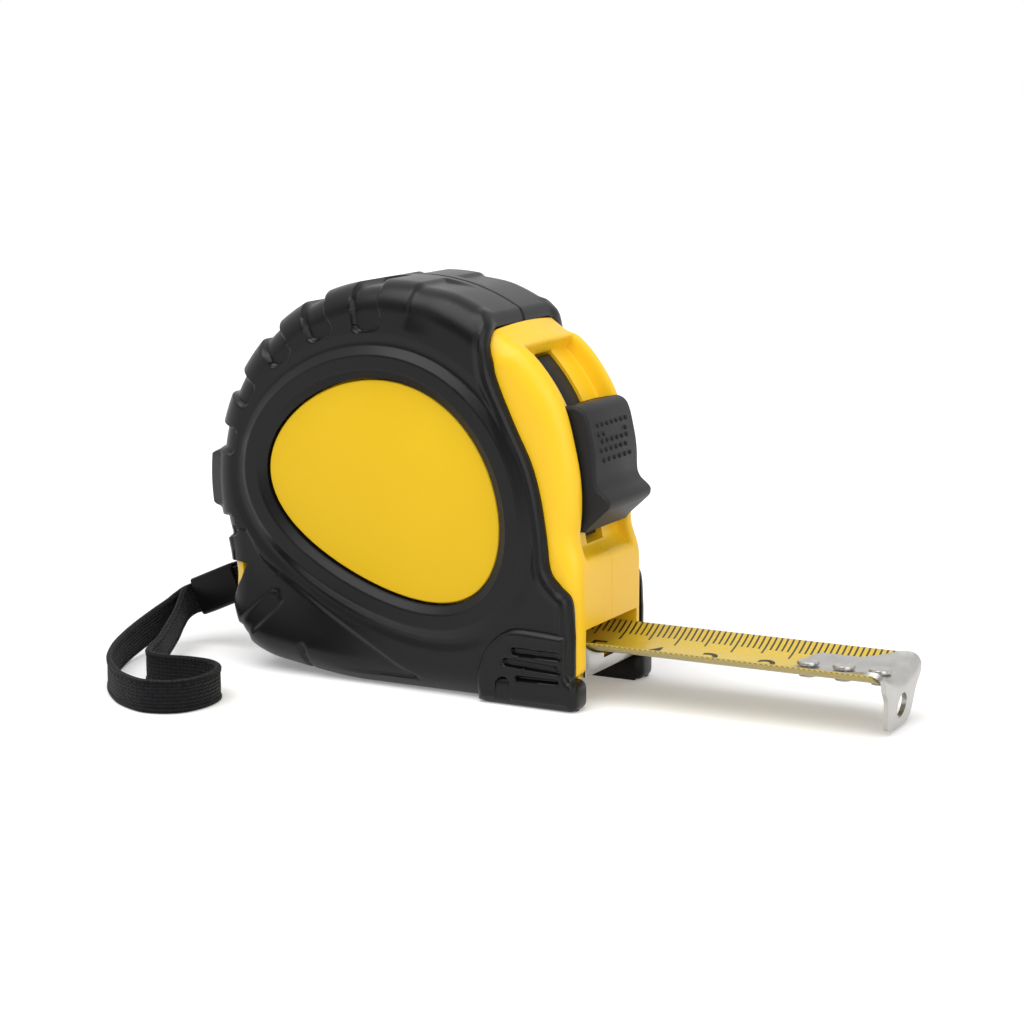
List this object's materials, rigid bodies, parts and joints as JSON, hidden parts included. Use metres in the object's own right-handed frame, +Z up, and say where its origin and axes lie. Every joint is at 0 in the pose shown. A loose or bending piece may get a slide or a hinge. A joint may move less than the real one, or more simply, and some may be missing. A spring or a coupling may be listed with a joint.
{
  "type": "measuring tape",
  "caption": "Pocket tape measure: round case in a rubber cover, thumb lock, spring drum, trough-shaped steel blade with a sliding end hook, and a wrist strap.",
  "frame": {"origin": "middle of the tape's length and width on the floor, the wrist strap not counted", "axes": "+X the way the blade is pulled out, +Y across the case to the side away from the pictured one, +Z up"},
  "size_m": [0.1351, 0.0612, 0.0675],
  "materials": {
    "case_yellow": "moulded yellow plastic with a soft sheen",
    "panel_yellow": "smooth deeper yellow printed panel",
    "cover_rubber": "matt charcoal moulded rubber with a fine grain",
    "lock_plastic": "matt charcoal plastic with raised grip dots",
    "drum_plastic": "plain black moulded plastic",
    "blade_enamel": "yellow enamelled spring steel with black scale marks",
    "bright_steel": "bright plated sheet steel",
    "spring_steel": "blued spring strip",
    "screw_steel": "dark zinc-plated steel",
    "strap_webbing": "black woven flat band, stitched"
  },
  "bodies": {
    "case": {"case_left": "case_yellow", "case_right": "case_yellow", "rubber_cover_left": "cover_rubber", "rubber_cover_right": "cover_rubber", "side_panel_left": "panel_yellow", "side_panel_right": "panel_yellow", "screw_top": "screw_steel", "screw_rear": "screw_steel", "screw_front": "screw_steel", "screw_spindle": "screw_steel", "spindle_post": "bright_steel", "power_spring": "spring_steel", "mouth_plate": "bright_steel", "strap_pin": "bright_steel", "strap_lead": "strap_webbing", "strap_sleeve": "drum_plastic", "wrist_strap": "strap_webbing"},
    "drum": {"drum": "drum_plastic", "drum_cover": "drum_plastic", "blade_winding": "blade_enamel"},
    "blade": {"blade": "blade_enamel", "rivet_1": "bright_steel", "rivet_2": "bright_steel", "rivet_3": "bright_steel"},
    "end_hook": {"end_hook": "bright_steel"},
    "thumb_lock": {"lock_button": "lock_plastic", "lock_slider": "drum_plastic", "brake_shoe": "cover_rubber"}
  },
  "joints": [
    {"name": "drum_spin", "type": "hinge", "parent": "case", "child": "drum", "pos_m": [-0.02475, 0, 0.033], "axis": [0, -1, 0], "range_deg": [-130.5, 11.9]},
    {"name": "blade_slide", "type": "slide", "parent": "case", "child": "blade", "axis": [1, 0, 0], "range_m": [-0.049, 0.0045]},
    {"name": "hook_play", "type": "slide", "parent": "blade", "child": "end_hook", "axis": [1, 0, 0], "range_m": [-0.0004, 0.0004]},
    {"name": "lock_slide", "type": "hinge", "parent": "case", "child": "thumb_lock", "pos_m": [-0.02475, 0, 0.033], "axis": [0, -1, 0], "range_deg": [0, 18]}
  ],
  "couplings": [
    {"joint": "blade_slide", "follows": "drum_spin", "m_per_rad": 0.0215}
  ]
}
